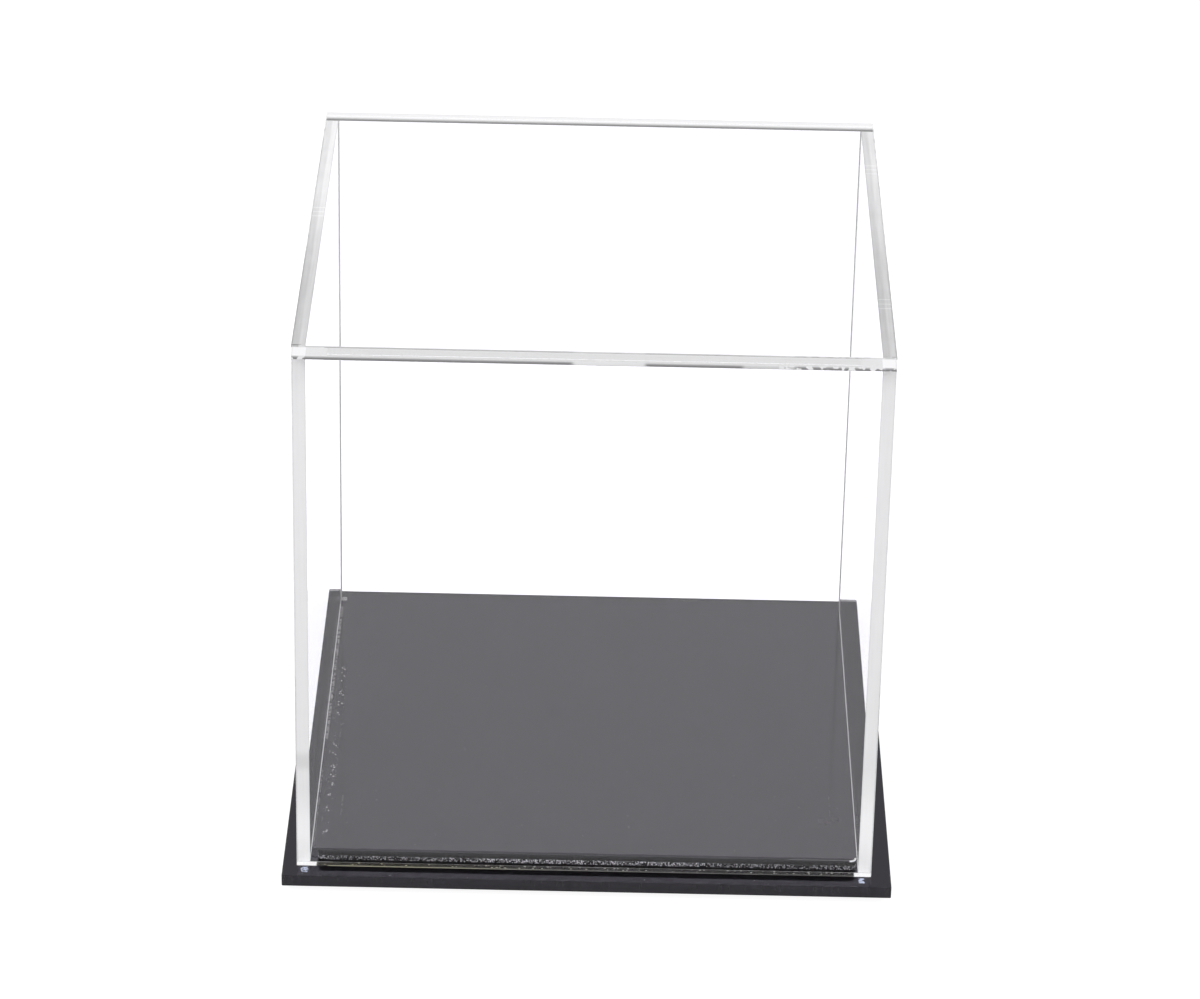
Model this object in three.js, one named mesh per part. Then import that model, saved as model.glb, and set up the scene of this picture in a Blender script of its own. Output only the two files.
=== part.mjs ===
import * as THREE from 'three';

// A display case for a softball: a clear box, open below, that stands on a black base and lifts off it.
// Lengths are in millimetres and +Z is up. The origin is on the surface that the case stands on, under
// the middle of the base. +X is the case's right and -Y its front.

// The cover is five clear sheets bonded at their edges. The top sheet lies on all four walls, and the
// front and back walls run the full width, over the ends of the side walls.
const coverWidth = 133.35;
const coverDepth = 133.35;
const coverHeight = 133.35;
const clearSheet = 3;

// The base plate is the cover's footprint with a rim all round. The raised plate is bonded on it, and
// fills the inside of the cover but for some play on each side.
const baseSheet = 2.8;
const raisedSheet = 2.8;
const baseRim = 3.95;
const coverPlay = 1.05;
const baseCornerRadius = 0.35;
const raisedCornerRadius = 1.4;

// A cover that is set down by hand is never quite in the middle of its play. This one stands a little
// to the left and to the back, by these shares of the play on one side.
const leftPlayShare = 0.62;
const backPlayShare = 0.52;

// The feet are stick-on bumpers, domed below and ground flat where they stand.
const footDiameter = 8;
const footHeight = 1.8;
const footFaceDiameter = 5;
const footSkirt = 0.4;
const footInset = 14;

// Facets of the round stretches.
const cornerFacets = 8;
const footFacets = 32;
const domeFacets = 6;

// Sizes that follow from the ones above.
const wallHeight = coverHeight - clearSheet;
const insideWidth = coverWidth - 2 * clearSheet;
const insideDepth = coverDepth - 2 * clearSheet;
const baseWidth = coverWidth + 2 * baseRim;
const baseDepth = coverDepth + 2 * baseRim;
const raisedWidth = insideWidth - 2 * coverPlay;
const raisedDepth = insideDepth - 2 * coverPlay;
const baseTop = footHeight + baseSheet;

const clearAcrylic = new THREE.MeshStandardMaterial({
  name: 'clear_acrylic', color: 0xf1f4f5, roughness: 0.04, metalness: 0, transparent: true, opacity: 0.25,
});
const blackAcrylic = new THREE.MeshStandardMaterial({
  name: 'black_acrylic', color: 0x0b0a0b, roughness: 0.08, metalness: 0,
});
const clearBumper = new THREE.MeshStandardMaterial({
  name: 'clear_bumper', color: 0xdfe3e4, roughness: 0.45, metalness: 0,
});

// A square-edged sheet between two opposite corners. Bonded sheets are given the very same numbers for
// the faces they share, so they meet without a gap or an overlap.
function clearSheetBetween(name, [x0, y0, z0], [x1, y1, z1]) {
  const geometry = new THREE.BoxGeometry();
  const corners = geometry.attributes.position;
  for (let i = 0; i < corners.count; i += 1) {
    const x = corners.getX(i) < 0 ? x0 : x1;
    const y = corners.getY(i) < 0 ? y0 : y1;
    const z = corners.getZ(i) < 0 ? z0 : z1;
    corners.setXYZ(i, x, y, z);
  }
  const mesh = new THREE.Mesh(geometry, clearAcrylic);
  mesh.name = name;
  return mesh;
}

// A flat plate centred on the Z axis, with rounded corners, standing on the given height.
function blackPlate(name, width, depth, thickness, radius, bottom) {
  const right = width / 2 - radius;
  const back = depth / 2 - radius;
  const quarter = Math.PI / 2;
  const outline = new THREE.Shape();
  outline.absarc(right, -back, radius, -quarter, 0, false);
  outline.absarc(right, back, radius, 0, quarter, false);
  outline.absarc(-right, back, radius, quarter, 2 * quarter, false);
  outline.absarc(-right, -back, radius, 2 * quarter, 3 * quarter, false);
  outline.closePath();
  const geometry = new THREE.ExtrudeGeometry(outline, {
    depth: thickness, bevelEnabled: false, curveSegments: cornerFacets,
  });
  const mesh = new THREE.Mesh(geometry, blackAcrylic);
  mesh.name = name;
  mesh.position.z = bottom;
  return mesh;
}

// A bumper foot: a flat face below, a dome out to the full diameter, and a short straight skirt up to
// the plate that it is stuck to.
function foot(name, x, y) {
  const faceRadius = footFaceDiameter / 2;
  const domeReach = footDiameter / 2 - faceRadius;
  const domeHeight = footHeight - footSkirt;
  const profile = [new THREE.Vector2(0, 0)];
  for (let i = 0; i <= domeFacets; i += 1) {
    const angle = (Math.PI / 2) * (i / domeFacets);
    const radius = faceRadius + domeReach * Math.sin(angle);
    profile.push(new THREE.Vector2(radius, domeHeight * (1 - Math.cos(angle))));
  }
  profile.push(new THREE.Vector2(footDiameter / 2, footHeight));
  profile.push(new THREE.Vector2(0, footHeight));
  const geometry = new THREE.LatheGeometry(profile, footFacets);
  geometry.rotateX(Math.PI / 2);
  const mesh = new THREE.Mesh(geometry, clearBumper);
  mesh.name = name;
  mesh.position.set(x, y, 0);
  return mesh;
}

// The base: both plates and the four feet.
function baseGroup() {
  const group = new THREE.Group();
  group.add(blackPlate('base_plate', baseWidth, baseDepth, baseSheet, baseCornerRadius, footHeight));
  group.add(blackPlate('raised_plate', raisedWidth, raisedDepth, raisedSheet, raisedCornerRadius, baseTop));
  const footX = baseWidth / 2 - footInset;
  const footY = baseDepth / 2 - footInset;
  for (const [row, y] of [['front', -footY], ['back', footY]]) {
    for (const [side, x] of [['left', -footX], ['right', footX]]) {
      group.add(foot(`foot_${row}_${side}`, x, y));
    }
  }
  return group;
}

// The cover, standing on the base plate's rim, around the raised plate.
function coverGroup() {
  const outX = coverWidth / 2;
  const outY = coverDepth / 2;
  const inX = insideWidth / 2;
  const inY = insideDepth / 2;
  const group = new THREE.Group();
  group.add(clearSheetBetween('front_panel', [-outX, -outY, 0], [outX, -inY, wallHeight]));
  group.add(clearSheetBetween('back_panel', [-outX, inY, 0], [outX, outY, wallHeight]));
  group.add(clearSheetBetween('left_panel', [-outX, -inY, 0], [-inX, inY, wallHeight]));
  group.add(clearSheetBetween('right_panel', [inX, -inY, 0], [outX, inY, wallHeight]));
  group.add(clearSheetBetween('top_panel', [-outX, -outY, wallHeight], [outX, outY, coverHeight]));
  group.position.set(-leftPlayShare * coverPlay, backPlayShare * coverPlay, baseTop);
  return group;
}

const displayCase = new THREE.Group();
displayCase.add(baseGroup(), coverGroup());

export default displayCase;
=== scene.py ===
"""Looks of a softball display case: a clear bonded cover that stands on a black two-step base."""

import math

import bmesh
import bpy
from mathutils import Matrix, Vector


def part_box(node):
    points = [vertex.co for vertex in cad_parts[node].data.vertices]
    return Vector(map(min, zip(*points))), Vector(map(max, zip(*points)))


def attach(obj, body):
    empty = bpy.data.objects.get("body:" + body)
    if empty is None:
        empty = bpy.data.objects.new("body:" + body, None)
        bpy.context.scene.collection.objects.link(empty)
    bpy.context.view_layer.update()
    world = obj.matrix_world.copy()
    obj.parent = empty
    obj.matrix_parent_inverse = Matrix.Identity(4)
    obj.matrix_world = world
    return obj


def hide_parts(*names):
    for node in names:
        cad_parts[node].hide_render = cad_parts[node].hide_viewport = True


bl_info = {
    "name": "Softball Display Case",
    "version": (1, 0, 0),
    "blender": (4, 5, 0),
    "location": "3D View > Sidebar > Display Case",
    "description": "Builds the clear cover, the black base, the feet and a plain studio",
    "category": "Add Mesh",
}

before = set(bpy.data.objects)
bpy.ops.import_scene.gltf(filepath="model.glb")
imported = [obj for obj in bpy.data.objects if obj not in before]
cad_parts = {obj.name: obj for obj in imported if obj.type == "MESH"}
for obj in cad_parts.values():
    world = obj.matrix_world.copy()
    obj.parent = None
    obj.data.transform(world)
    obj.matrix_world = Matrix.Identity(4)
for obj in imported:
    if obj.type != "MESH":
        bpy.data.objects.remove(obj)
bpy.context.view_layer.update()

MM = 0.001
ACRYLIC_IOR = 1.49
BUMPER_IOR = 1.48
WHITE = (1.0, 1.0, 1.0, 1.0)
# OLIVE tints the painted glint line on the front sheet's foot.
OLIVE = (1.0, 0.97, 0.7, 1.0)

# The clear sheet mirrors at most this share of the light, or all of it from the second share on, which is
# where light is trapped inside a sheet.
MIRROR_LIMIT = 0.12
TRAPPED = 0.97

COVER_PANELS = ("front_panel", "back_panel", "left_panel", "right_panel", "top_panel")
FEET = ("foot_front_left", "foot_front_right", "foot_back_left", "foot_back_right")

# Steps in the round of a bevel, of the cement fillet and of a plate's corner, and the angle of a sharp edge
BEVEL_STEPS = 2
FILLET_STEPS = 4
CORNER_STEPS = 8
SHARP = math.radians(30)

# Studio
FLOOR_HALF = 4.0
LAMP_PLACES = {"lamp_left": (-0.75, -0.55, 0.85), "lamp_right": (0.8, -0.35, 0.8)}
LAMP_AIM = (0, 0, 0.05)
CAMERA_FRAME_WIDTH = 36
LIGHT_BOUNCES = {
    "max_bounces": 32,
    "glossy_bounces": 24,
    "transmission_bounces": 24,
    "transparent_max_bounces": 32,
}


# Settings that a user would change

class DisplayCaseSheets(bpy.types.PropertyGroup):
    """Small sizes of the sheets that the solids leave plain."""

    clear_arris: bpy.props.FloatProperty(
        name="Clear Arris", description="Width of the tiny bevel along the edges of the clear sheets",
        default=0.08 * MM, min=0.0, max=1 * MM, precision=5, unit="LENGTH")
    black_arris: bpy.props.FloatProperty(
        name="Black Arris", description="Width of the bevel along the upper edges of the black plates",
        default=0.12 * MM, min=0.0, max=1 * MM, precision=5, unit="LENGTH")
    lower_arris: bpy.props.FloatProperty(
        name="Lower Arris", description="Width of the matte bevel along the lower edges of the black plates",
        default=0.1 * MM, min=0.0, max=1 * MM, precision=5, unit="LENGTH")
    joint_gap: bpy.props.FloatProperty(
        name="Joint Gap", description="Thickness of the bonded joint between two clear sheets",
        default=0.02 * MM, min=0.0, max=0.2 * MM, precision=5, unit="LENGTH")
    resting_gap: bpy.props.FloatProperty(
        name="Resting Gap", description="Air under the cover's bottom edge, where it stands on the base",
        default=0.03 * MM, min=0.0, max=0.2 * MM, precision=5, unit="LENGTH")
    bead: bpy.props.FloatProperty(
        name="Cement Bead", description="Size of the cement fillet in the cover's two rear corners",
        default=0.2 * MM, min=0.0, max=1 * MM, precision=5, unit="LENGTH")
    base_corner: bpy.props.FloatProperty(
        name="Base Corner", description="Radius of the base plate's corners seen from above",
        default=0.35 * MM, min=0.0, max=5 * MM, precision=5, unit="LENGTH")
    raised_corner: bpy.props.FloatProperty(
        name="Raised Corner", description="Radius of the raised plate's corners seen from above",
        default=1.4 * MM, min=0.0, max=5 * MM, precision=5, unit="LENGTH")


class DisplayCaseColours(bpy.types.PropertyGroup):
    """Colours of the finishes."""

    clear: bpy.props.FloatVectorProperty(
        name="Clear Sheet", description="Colour that the clear sheet gives to what is seen through it",
        subtype="COLOR", size=4, min=0.0, max=1.0, default=(0.985, 0.983, 0.993, 1.0))
    joint: bpy.props.FloatVectorProperty(
        name="Bonded Joint", description="Tint of the frosted faces where two clear sheets are bonded",
        subtype="COLOR", size=4, min=0.0, max=1.0, default=(0.995, 0.995, 1.0, 1.0))
    black: bpy.props.FloatVectorProperty(
        name="Black Sheet", description="Colour of the black sheet",
        subtype="COLOR", size=4, min=0.0, max=1.0, default=(0.0016, 0.0013, 0.0016, 1.0))
    black_gloss: bpy.props.FloatVectorProperty(
        name="Black Gloss", description="Tint of what the black sheet mirrors",
        subtype="COLOR", size=4, min=0.0, max=1.0, default=(0.78, 0.72, 1.0, 1.0))
    edge_gloss: bpy.props.FloatVectorProperty(
        name="Edge Gloss", description="Tint of what the black sheet's sawn edges mirror",
        subtype="COLOR", size=4, min=0.0, max=1.0, default=(0.88, 0.845, 1.0, 1.0))
    # The dust colour also paints highlights on the black plates: the raised plate's corner glint and front
    # line, and streaks on the base's ledge.
    dust_and_highlights: bpy.props.FloatVectorProperty(
        name="Dust", description="Colour of the dust on the black plates",
        subtype="COLOR", size=4, min=0.0, max=1.0, default=(0.8, 0.79, 0.77, 1.0))
    # The chips' colour also paints their glitter and the glint on the raised plate's front right arris.
    chips_and_glints: bpy.props.FloatVectorProperty(
        name="Chips", description="Colour of the chipped band on the raised plate's sawn edge",
        subtype="COLOR", size=4, min=0.0, max=1.0, default=(0.94, 0.94, 1.0, 1.0))
    # Painted reflection: colour of the glints painted on the base's lip, mirror images of the bright upright
    # joints.
    lip_glint: bpy.props.FloatVectorProperty(
        name="Cement Residue", description="Colour of the cement squeezed out at the cover's front corners",
        subtype="COLOR", size=4, min=0.0, max=1.0, default=(0.5, 0.56, 0.72, 1.0))
    bumper: bpy.props.FloatVectorProperty(
        name="Bumper", description="Colour of the soft clear feet",
        subtype="COLOR", size=4, min=0.0, max=1.0, default=(0.86, 0.88, 0.88, 1.0))
    floor: bpy.props.FloatVectorProperty(
        name="Floor", description="Colour of the floor",
        subtype="COLOR", size=4, min=0.0, max=1.0, default=(0.8, 0.8, 0.8, 1.0))


class DisplayCaseStudio(bpy.types.PropertyGroup):
    """Light and camera."""

    surround: bpy.props.FloatProperty(
        name="Surround", description="Brightness of the white room that lights the case",
        default=0.88, min=0.0, max=2.0)
    mirrored: bpy.props.FloatProperty(
        name="Mirrored Surround", description="Brightness of the white room in mirror images",
        default=0.645, min=0.0, max=2.0)
    seen_through: bpy.props.FloatProperty(
        name="Surround Through", description="Brightness of the white room seen through a clear sheet",
        default=0.83, min=0.0, max=2.0)
    floor_shade: bpy.props.FloatProperty(
        name="Floor Shade", description="Share of the floor's own shading, and its shadow, that is seen",
        default=0.3, min=0.0, max=1.0)
    floor_glow: bpy.props.FloatProperty(
        name="Floor Glow", description="White added to the floor where it is seen directly",
        default=1.32, min=0.0, max=2.0)
    glow_through: bpy.props.FloatProperty(
        name="Glow Through", description="White added to the floor where it is seen through a clear sheet",
        default=1.6, min=0.0, max=3.0)
    lamp_power: bpy.props.FloatProperty(
        name="Lamp Power", description="Power of each soft lamp", default=2.1, min=0.0, unit="POWER")
    lamp_size: bpy.props.FloatProperty(
        name="Lamp Size", description="Side of each square lamp", default=0.3, min=0.01, unit="LENGTH")
    lens: bpy.props.FloatProperty(
        name="Lens", description="Focal length of the camera, in millimetres on a 36 mm frame",
        default=145.88)
    pitch: bpy.props.FloatProperty(
        name="Pitch", description="Angle by which the camera looks down",
        default=math.radians(27.254), subtype="ANGLE", unit="ROTATION")
    roll: bpy.props.FloatProperty(
        name="Roll", description="Angle by which the camera is tilted sideways",
        default=math.radians(1.19), subtype="ANGLE", unit="ROTATION")
    place: bpy.props.FloatVectorProperty(
        name="Camera Place", description="Where the camera stands",
        default=(0.00129, -1.0304, 0.59853), size=3, subtype="TRANSLATION", unit="LENGTH")


# Node helpers

def feed(tree, socket, value):
    """Sets a socket to a number or colour, or links it to the socket that feeds it."""
    if isinstance(value, bpy.types.NodeSocket):
        tree.links.new(value, socket)
    else:
        socket.default_value = value


def add_math(tree, operation, *values):
    """A Math node. Each value is a number or the socket that feeds it."""
    node = tree.nodes.new("ShaderNodeMath")
    node.operation = operation
    for slot, value in zip(node.inputs, values):
        feed(tree, slot, value)
    return node.outputs[0]


def product(tree, *values):
    """All the values multiplied."""
    total = values[0]
    for value in values[1:]:
        total = add_math(tree, "MULTIPLY", total, value)
    return total


def ease(tree, value, start, end, low=0.0, high=1.0, kind="SMOOTHSTEP"):
    """Goes from low, where the value is at start, to high, where it is at end."""
    node = tree.nodes.new("ShaderNodeMapRange")
    node.interpolation_type = kind
    for label, given in zip(("Value", "From Min", "From Max", "To Min", "To Max"),
                            (value, start, end, low, high)):
        feed(tree, node.inputs[label], given)
    return node.outputs["Result"]


def window(tree, value, low, high, soft):
    """One between low and high, and zero outside, with soft ends."""
    return product(tree, ease(tree, value, low - soft, low), ease(tree, value, high + soft, high))


def mix_colour(tree, share, first, second, kind="MIX"):
    """A colour between two others."""
    node = tree.nodes.new("ShaderNodeMix")
    node.data_type = "RGBA"
    node.blend_type = kind
    feed(tree, node.inputs["Factor"], share)
    colour_inputs = [socket for socket in node.inputs if socket.type == "RGBA"]
    feed(tree, colour_inputs[0], first)
    feed(tree, colour_inputs[1], second)
    return next(socket for socket in node.outputs if socket.type == "RGBA")


def grey(tree, value):
    """A grey colour from a value."""
    node = tree.nodes.new("ShaderNodeCombineColor")
    for slot in node.inputs:
        feed(tree, slot, value)
    return node.outputs[0]


def scaled(tree, vector, factor):
    """A vector multiplied by one factor, a number or a socket, or part by part by three."""
    node = tree.nodes.new("ShaderNodeVectorMath")
    feed(tree, node.inputs[0], vector)
    if isinstance(factor, tuple):
        node.operation = "MULTIPLY"
        node.inputs[1].default_value = factor
    else:
        node.operation = "SCALE"
        feed(tree, node.inputs["Scale"], factor)
    return node.outputs[0]


def cloud(tree, vector, detail=2.0, scale=1.0):
    """Noise about one half."""
    node = tree.nodes.new("ShaderNodeTexNoise")
    feed(tree, node.inputs["Vector"], vector)
    node.inputs["Scale"].default_value = scale
    node.inputs["Detail"].default_value = detail
    return node.outputs["Fac"]


def position(tree):
    """Where a point is on its piece: the whole vector, and x, y and z, in metres."""
    place = tree.nodes.new("ShaderNodeTexCoord").outputs["Object"]
    parts = tree.nodes.new("ShaderNodeSeparateXYZ")
    tree.links.new(place, parts.inputs[0])
    return place, tuple(parts.outputs)


def bumped(tree, height, depth):
    """A normal that is bumped by a height between 0 and 1."""
    node = tree.nodes.new("ShaderNodeBump")
    node.inputs["Strength"].default_value = 1.0
    node.inputs["Distance"].default_value = depth
    tree.links.new(height, node.inputs["Height"])
    return node.outputs["Normal"]


# Effects that more than one finish uses

SOCKETS = {"value": "NodeSocketFloat", "vector": "NodeSocketVector"}
SMALLEST_SPECK = 0.4
HAIRLINE_TURNS = (0.5, -1.1)
HAIRLINE_STRETCH = (1.0, 0.025, 1.0)
SAW_STRETCH = (1.0, 1.0, 0.07)
STREAK_SCALES = (1500.0, 60.0, 60.0)
SHADED_BORDER = 0.12


def new_group(name, inputs, outputs):
    """An empty node group with its sockets. Gives its tree and the sockets inside it."""
    group = bpy.data.node_groups.new(name, "ShaderNodeTree")
    for label, kind, default in inputs:
        socket = group.interface.new_socket(label, in_out="INPUT", socket_type=SOCKETS[kind])
        if default is not None:
            socket.default_value = default
    for label, kind in outputs:
        group.interface.new_socket(label, in_out="OUTPUT", socket_type=SOCKETS[kind])
    return group, group.nodes.new("NodeGroupInput").outputs, group.nodes.new("NodeGroupOutput").inputs


def use_group(tree, name, **values):
    """Places a node group and feeds its inputs. Gives its first output."""
    node = tree.nodes.new("ShaderNodeGroup")
    node.node_tree = bpy.data.node_groups[name]
    for label, value in values.items():
        feed(tree, node.inputs[label.replace("_", " ").title()], value)
    return node.outputs[0]


def make_speck_field():
    """Scattered round specks of mixed size, for dust, chips and painted sparkle."""
    group, given, result = new_group("speck_field", [
        ("Vector", "vector", None), ("Spacing", "value", 1 * MM), ("Size", "value", 0.3 * MM),
        ("Share", "value", 0.3)], [("Mask", "value")])
    cells = group.nodes.new("ShaderNodeTexVoronoi")
    cells.voronoi_dimensions = "2D"
    cells.inputs["Scale"].default_value = 1.0
    per_metre = add_math(group, "DIVIDE", 1.0, given["Spacing"])
    feed(group, cells.inputs["Vector"], scaled(group, given["Vector"], per_metre))
    draw = group.nodes.new("ShaderNodeSeparateColor")
    feed(group, draw.inputs[0], cells.outputs["Color"])
    largest = product(group, given["Size"], per_metre, 0.5)
    radius = product(group, largest, ease(group, draw.outputs[0], 0.0, 1.0, SMALLEST_SPECK, 1.0))
    core = product(group, radius, 0.5)
    inside_speck = ease(group, cells.outputs["Distance"], radius, core)
    chosen = add_math(group, "LESS_THAN", draw.outputs[1], given["Share"])
    feed(group, result["Mask"], product(group, inside_speck, chosen))


def make_hairlines():
    """Fine polishing scratches that run in two directions."""
    group, given, result = new_group("hairlines", [
        ("Vector", "vector", None), ("Spacing", "value", 1 * MM), ("Strength", "value", 1.0)],
        [("Mask", "value")])
    per_metre = add_math(group, "DIVIDE", 1.0, given["Spacing"])
    masks = []
    for turn in HAIRLINE_TURNS:
        spin = group.nodes.new("ShaderNodeVectorRotate")
        spin.rotation_type = "Z_AXIS"
        spin.inputs["Angle"].default_value = turn
        feed(group, spin.inputs["Vector"], given["Vector"])
        thin = scaled(group, spin.outputs[0], HAIRLINE_STRETCH)
        masks.append(ease(group, cloud(group, scaled(group, thin, per_metre)), 0.62, 0.72))
    both = add_math(group, "MAXIMUM", *masks)
    feed(group, result["Mask"], product(group, both, given["Strength"]))


def make_saw_lines():
    """Upright tool lines left on a sheet's sawn edge."""
    group, given, result = new_group("saw_lines", [
        ("Vector", "vector", None), ("Spacing", "value", 0.5 * MM)], [("Height", "value")])
    per_metre = add_math(group, "DIVIDE", 1.0, given["Spacing"])
    upright = scaled(group, given["Vector"], SAW_STRETCH)
    feed(group, result["Height"], cloud(group, scaled(group, upright, per_metre), 3.0))


def make_bond_tone():
    """Tone of a bonded joint: it changes along its length, has mottle, streaks and shaded borders, and is
    dark where cement ran in from the side where Across is 0."""
    group, given, result = new_group("bond_tone", [
        ("Vector", "vector", None), ("Across", "value", 0.5), ("Along", "value", 0.5),
        ("Near", "value", 0.8), ("Far", "value", 0.8), ("Border", "value", 0.0), ("Half", "value", 0.0),
        ("Mottle", "value", 0.05), ("Streaks", "value", 0.0), ("Filled", "value", 0.0),
        ("Cement Core", "value", 0.1), ("Cement End", "value", 1.0), ("Cement Tone", "value", 0.2)],
        [("Tone", "value")])
    vector, across = given["Vector"], given["Across"]
    tone = ease(group, given["Along"], 0.0, 1.0, given["Near"], given["Far"])
    patches = add_math(group, "SUBTRACT", cloud(group, vector, 3.0, 180.0), 0.5)
    lines = add_math(group, "SUBTRACT", cloud(group, scaled(group, vector, STREAK_SCALES)), 0.5)
    uneven = add_math(group, "ADD", product(group, patches, given["Mottle"]),
                      product(group, lines, given["Streaks"]))
    middle = window(group, across, SHADED_BORDER, 1.0 - SHADED_BORDER, 0.1)
    border = product(group, add_math(group, "SUBTRACT", 1.0, middle), given["Border"])
    half = product(group, ease(group, across, 0.62, 0.42), given["Half"])
    tone = product(group, tone, add_math(group, "ADD", uneven, 1.0),
                   add_math(group, "SUBTRACT", 1.0, border), add_math(group, "SUBTRACT", 1.0, half))
    share = product(group, ease(group, across, given["Cement End"], given["Cement Core"]), given["Filled"])
    drop = product(group, add_math(group, "SUBTRACT", tone, given["Cement Tone"]), share)
    feed(group, result["Tone"], add_math(group, "SUBTRACT", tone, drop))


# Materials

FROSTED = 0.6
SAWN = 0.7
SMUDGE_TONE = 0.85
STRAIGHT_THROUGH = (0.985, 0.985, 0.985, 1.0)
HAIRLINE_DEPTH = 0.0002 * MM
SAW_DEPTH = 0.02 * MM
FINE_SAW_DEPTH = 0.006 * MM


def new_material(name):
    """An empty material with its output node."""
    material = bpy.data.materials.new(name)
    material.use_nodes = True
    material.node_tree.nodes.clear()
    material.node_tree.nodes.new("ShaderNodeOutputMaterial")
    return material


def output_of(material):
    """The output node of a material."""
    return material.node_tree.nodes["Material Output"]


def principled(material, **sockets):
    """A Principled BSDF wired to the output, with the sockets that are given set or fed."""
    tree = material.node_tree
    shader = tree.nodes.new("ShaderNodeBsdfPrincipled")
    for name, value in sockets.items():
        label = name.replace("_", " ").title().replace("Ior", "IOR")
        feed(tree, shader.inputs[label], value)
    tree.links.new(shader.outputs["BSDF"], output_of(material).inputs["Surface"])


def mix_shaders(tree, share, first, second):
    """A Mix Shader between two shader sockets."""
    node = tree.nodes.new("ShaderNodeMixShader")
    for slot, value in zip(node.inputs, (share, first, second)):
        feed(tree, slot, value)
    return node.outputs[0]


def clear_sheet_material(colours):
    """Polished clear sheet. It bends light and mirrors it, but its mirror image stays faint where it is
    seen at a low angle, and lamps and scattered light pass straight through. Hairlines blur the mirror."""
    material = new_material("clear_sheet")
    tree = material.node_tree
    vector = position(tree)[0]
    fresnel = tree.nodes.new("ShaderNodeFresnel")
    fresnel.inputs["IOR"].default_value = ACRYLIC_IOR
    faint = add_math(tree, "MINIMUM", fresnel.outputs[0], MIRROR_LIMIT)
    trapped = add_math(tree, "GREATER_THAN", fresnel.outputs[0], TRAPPED)
    mirror_share = add_math(tree, "MAXIMUM", faint, trapped)
    bend = tree.nodes.new("ShaderNodeBsdfRefraction")
    bend.inputs["Color"].default_value = colours.clear
    bend.inputs["Roughness"].default_value = 0.0
    bend.inputs["IOR"].default_value = ACRYLIC_IOR
    mirror = tree.nodes.new("ShaderNodeBsdfGlossy")
    mirror.inputs["Color"].default_value = WHITE
    lines = use_group(tree, "hairlines", vector=vector, spacing=2 * MM, strength=0.03)
    feed(tree, mirror.inputs["Roughness"], lines)
    sheet = mix_shaders(tree, mirror_share, bend.outputs[0], mirror.outputs[0])
    path = tree.nodes.new("ShaderNodeLightPath")
    straight = add_math(tree, "MAXIMUM", path.outputs["Is Shadow Ray"], path.outputs["Is Diffuse Ray"])
    open_way = tree.nodes.new("ShaderNodeBsdfTransparent")
    open_way.inputs["Color"].default_value = STRAIGHT_THROUGH
    both = mix_shaders(tree, straight, sheet, open_way.outputs[0])
    tree.links.new(both, output_of(material).inputs["Surface"])
    return material


# How each bonded joint looks, by the names of its two sheets. Lengths are in metres from its low end.
# "near" and "far" are its tones before and after the two lengths in "turn".
# "mottle", "streaks", "border" and "half" are the strengths of its patches and of its fine lines, of the
# shade along its borders and of the shade on one half.
# "filled" is how much dark cement it has. The cement is full from the side where it ran in up to
# "cement_core" of the width, ends at "cement_end", and has the tone "cement_tone".
# "voids" are stretches, each with the share of the cement that is left there.
# "dashes" is where the cement breaks up: from the first length on, and up to the second.
# "marks" are places with feed marks of the saw, and "smudge" is the middle of a darker patch.
# "low_view" has the tones, at its low end and farther on, when looked along the joint.
# "end_line" is the tone of a broken line across its low end.
REAR_JOINT = dict(near=0.72, far=0.72, border=0.2, mottle=0.1)
JOINT_LOOKS = {
    "front_top": dict(
        near=0.76, far=0.76, mottle=0.12, filled=1.0, cement_core=0.3, cement_end=1.2, cement_tone=0.2,
        voids=((63 * MM, 77 * MM, 0.1), (100.5 * MM, 110 * MM, 0.4)), dashes=(109 * MM, 3 * MM)),
    "back_top": dict(
        near=0.95, far=0.95, mottle=0.02, filled=1.0, cement_core=0.1, cement_end=0.92, cement_tone=0.2,
        low_view=(0.77, 0.77)),
    "left_top": dict(
        near=0.655, far=0.94, turn=(30 * MM, 100 * MM), mottle=0.14, streaks=0.25, border=0.15, half=0.13,
        marks=(72.7 * MM,), low_view=(0.9, 0.78), end_line=0.2),
    "right_top": dict(
        near=0.61, far=0.81, turn=(30 * MM, 105 * MM), mottle=0.14, streaks=0.25, border=0.15, half=0.13,
        marks=(104 * MM, 28 * MM), low_view=(0.9, 0.76), end_line=0.45),
    "front_left": dict(
        near=1.0, far=0.81, turn=(7 * MM, 20 * MM), border=0.1, mottle=0.06, streaks=0.08, smudge=27 * MM),
    "front_right": dict(
        near=1.0, far=0.8, turn=(7 * MM, 30 * MM), border=0.1, mottle=0.06, streaks=0.08),
    "back_left": REAR_JOINT,
    "back_right": REAR_JOINT,
}
DASH_SCALES = (650.0, 200.0, 200.0)

# Where the low view's tone turns from its first to its second, and what Facing is in that view and out of it
LOW_VIEW_TURN = (6 * MM, 22 * MM)
LOW_VIEW = 0.6
HIGH_VIEW = 0.4

# The keys of a look that are fed to the bond_tone group
BOND_SOCKETS = ("near", "far", "mottle", "streaks", "border", "half", "cement_core", "cement_end",
                "cement_tone")


def joint_name(node, other):
    """The name of the joint between two sheets."""
    return "_".join(sorted(panel.replace("_panel", "") for panel in (node, other)))


def joint_box(name):
    """The flat box that two bonded sheets share, and its axes from the thinnest to the longest."""
    boxes = [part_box(part + "_panel") for part in name.split("_")]
    low = [max(box[0][a] for box in boxes) for a in range(3)]
    high = [min(box[1][a] for box in boxes) for a in range(3)]
    return low, high, sorted(range(3), key=lambda a: high[a] - low[a])


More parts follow.
